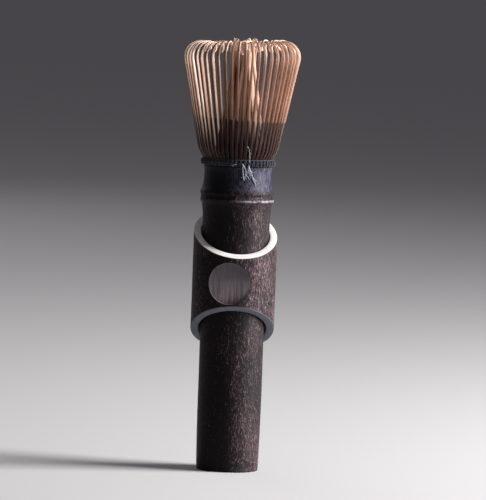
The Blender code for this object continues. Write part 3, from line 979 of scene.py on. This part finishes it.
def make_binding(material):
    """Turns of thread over each tine, two by two, drawn in between the tines."""
    bm = bmesh.new()
    layers = Layers(bm)
    crest = BINDING_RADIUS - STRAND_RADIUS
    low, high = binding_low.z, binding_high.z
    middle = (low + high) / 2
    for n, tine in enumerate(TINES):
        place = joints[tine + "_flex"]["pos_m"]
        azimuth = math.atan2(place[1], place[0])
        for strand in (-1, 1):
            route = []
            lean = (0.16 + 0.10 * uneven(n, 40 + strand)) * MM
            slack = 0.06 * MM * uneven(n, 44 + strand)
            for out, up in TURN_OVER:
                radius = crest + out * MM + slack
                aside = strand * 0.23 * MM + lean * up
                route.append(polar(radius, azimuth + aside / radius, middle + up * MM))
            tube(bm, layers, catmull_rom(route, 3), STRAND_RADIUS, 6)
    level_ring(bm, layers, crest - 0.75 * MM, middle, 0.55 * MM, 8)    # fills the middle
    for inward, height in ((0.50, low + 0.20 * MM), (0.62, high + 0.02 * MM),
                           (0.95, high + 0.12 * MM)):
        level_ring(bm, layers, crest - inward * MM, height, STRAND_RADIUS, 6)
    piece = make_piece("thread_loops", bm, [material], 60.0)
    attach(piece, "culm")
    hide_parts("binding_thread")


# the loose end: (radius, [(x, height, stand-off from the waist)...]), in millimetres
FRAY_ROUTES = [
    (0.22, [(1.9, 123.6, 1.9), (1.9, 121.6, 1.0), (2.1, 119.6, 0.5), (2.4, 118.0, 0.4),
            (2.7, 117.0, 0.35)]),
    (0.20, [(2.1, 123.2, 1.8), (2.9, 121.6, 0.9), (3.6, 120.1, 0.6), (3.9, 120.1, 0.7),
            (4.1, 121.6, 1.3), (4.2, 123.3, 2.0)]),
    (0.20, [(4.2, 122.9, 2.0), (4.9, 121.0, 1.0), (5.7, 119.2, 0.6), (6.5, 117.0, 0.4),
            (7.5, 115.2, 0.35)]),
    (0.12, [(4.3, 122.6, 1.9), (4.6, 120.2, 0.8), (5.6, 118.6, 0.5), (6.0, 117.2, 0.4)]),
    (0.10, [(2.2, 122.8, 1.7), (3.2, 120.9, 0.9), (3.0, 118.8, 0.5), (3.5, 117.4, 0.4)]),
    (0.10, [(4.4, 124.4, 2.4), (4.5, 127.0, 2.6), (4.2, 129.4, 3.2), (3.4, 131.0, 3.9)]),
    (0.10, [(-2.3, 122.6, 1.6), (-1.8, 123.1, 1.8), (-1.2, 123.4, 1.9), (-0.6, 123.3, 1.8)]),
    (0.11, [(2.9, 120.6, 0.8), (3.6, 119.0, 0.5), (4.3, 118.3, 0.4), (4.6, 117.3, 0.4)]),
    (0.10, [(4.6, 121.4, 1.0), (4.4, 119.7, 0.5), (4.9, 118.6, 0.4), (5.0, 117.6, 0.4)]),
    (0.10, [(5.9, 118.4, 0.5), (6.7, 117.6, 0.4), (7.0, 116.4, 0.4), (7.4, 114.6, 0.4)]),
    (0.07, [(5.0, 121.0, 1.0), (6.2, 120.2, 0.8), (7.2, 120.9, 1.0)]),
    (0.07, [(3.6, 119.4, 0.5), (2.6, 118.4, 0.5), (1.2, 118.2, 0.5)]),
    (0.07, [(6.4, 117.2, 0.4), (7.6, 117.0, 0.5), (8.6, 115.8, 0.5)]),
]


def make_frayed_end(material):
    """The thread's loose end, frayed into plies that lie on the waist."""
    heights, radii = outside_of_culm()
    bm = bmesh.new()
    layers = Layers(bm)
    for strand, points in FRAY_ROUTES:
        route = []
        for x, height, away in points:
            radius = float(np.interp(min(height * MM, RIM_HEIGHT), heights, radii)) + away * MM
            side = x * MM
            route.append(Vector((side, -math.sqrt(radius * radius - side * side), height * MM)))
        route = catmull_rom(route, 6)
        thinning = [strand * MM * (1.0 - 0.45 * (k / (len(route) - 1)) ** 2)
                    for k in range(len(route))]
        tube(bm, layers, route, thinning, 7)
    piece = make_piece("frayed_thread_end", bm, [material], 60.0)
    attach(piece, "culm")
    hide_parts("thread_end")


# --- floor, light and camera ------------------------------------------------------------------
def make_stage():
    """A plain pale floor, wide enough to run out of sight on every side."""
    bm = bmesh.new()
    turns = np.linspace(0.0, 2 * math.pi, 96, endpoint=False)
    rings = [[bm.verts.new(polar(radius, turn, 0.0)) for turn in turns]
             for radius in (0.5, 2.0, 8.0, 30.0, 90.0)]
    for first, second in zip(rings, rings[1:]):
        join_rings(bm, first, second)
    bm.faces.new(rings[0])
    look = Finish("pale_floor")
    look.set(Base_Color=(0.60, 0.595, 0.60, 1.0), Roughness=0.85)
    floor = make_piece("floor", bm, [look.material])


def area_light(name, place, target, size, power, colour=(1.0, 1.0, 1.0)):
    """A soft rectangular lamp that looks at the target; power in watts."""
    data = bpy.data.lights.new(name, "AREA")
    data.shape = "RECTANGLE"
    data.size, data.size_y = size
    data.energy = power
    data.color = colour
    light = bpy.data.objects.new(name, data)
    light.location = place
    light.rotation_euler = (Vector(target) - Vector(place)).to_track_quat("-Z", "Y").to_euler()
    bpy.context.scene.collection.objects.link(light)


def make_light():
    """A window low on the right, weak fills and a dim, faintly violet surround."""
    middle = (0.0, 0.0, 0.09)
    area_light("window", (1.05, -0.06, 0.42), middle, (0.6, 0.8), 42.0, (1.0, 0.985, 0.98))
    area_light("front_fill", (-0.5, -1.6, 0.9), middle, (1.2, 1.2), 0.8, (0.93, 0.96, 1.0))
    area_light("top_fill", (0.1, 0.1, 1.5), middle, (1.0, 1.0), 1.5)
    area_light("back_fill", (-0.9, 1.5, 0.8), middle, (1.2, 1.2), 2.5)
    world = bpy.data.worlds.new("studio")
    world.use_nodes = True
    surround = world.node_tree.nodes["Background"]
    surround.inputs["Color"].default_value = (0.83, 0.78, 0.86, 1.0)
    surround.inputs["Strength"].default_value = 0.12
    bpy.context.scene.world = world
    bpy.context.scene.view_settings.view_transform = "Standard"


def make_camera():
    """A long lens in front of the whisk, a little higher than its top."""
    distance, height = 1.8, 0.205
    aim = Vector((3.2 * MM, 0.0, 88.5 * MM))
    lean = math.radians(2.15)        # the whisk leans to the right in the frame
    frame_height = 200.0 * MM        # what the frame's height covers at the whisk
    data = bpy.data.cameras.new("camera")
    data.sensor_width = 36.0
    data.lens = data.sensor_width * distance / frame_height
    data.clip_start, data.clip_end = 0.05, 200.0
    camera = bpy.data.objects.new("camera", data)
    camera.location = (aim.x, -distance, height)
    look = (aim - camera.location).to_track_quat("-Z", "Y").to_matrix().to_4x4()
    camera.matrix_world = Matrix.Translation(camera.location) @ look @ Matrix.Rotation(
        lean, 4, "Z")
    bpy.context.scene.collection.objects.link(camera)
    bpy.context.scene.camera = camera


make_camera()
make_light()
make_stage()
make_culm()
make_collar()
# the last two numbers set the painted shade at the roots and how much of it the palest strips are
# spared
side_face = split_bamboo("tine_side_face", (0.900, 0.740, 0.620), (0.420, 0.225, 0.145), 0.60,
                         0.96, 0.45).material
tine_materials = [tine_outer_face(), side_face]
for number, tine in enumerate(TINES):
    make_outer_tine(tine, number, tine_materials)
# the brown is painted shade, given to the inner strands away from the lit front right
inner_face = split_bamboo("inner_tine_face", (0.900, 0.610, 0.470), (0.150, 0.046, 0.030), 0.8,
                          1.0).material
make_inner_tines([inner_face, inner_face])
make_binding(cotton("dark_thread", (0.0050, 0.0054, 0.0090), (0.056, 0.062, 0.094)))
make_frayed_end(cotton("frayed_thread", (0.230, 0.250, 0.290), (0.660, 0.700, 0.760)))
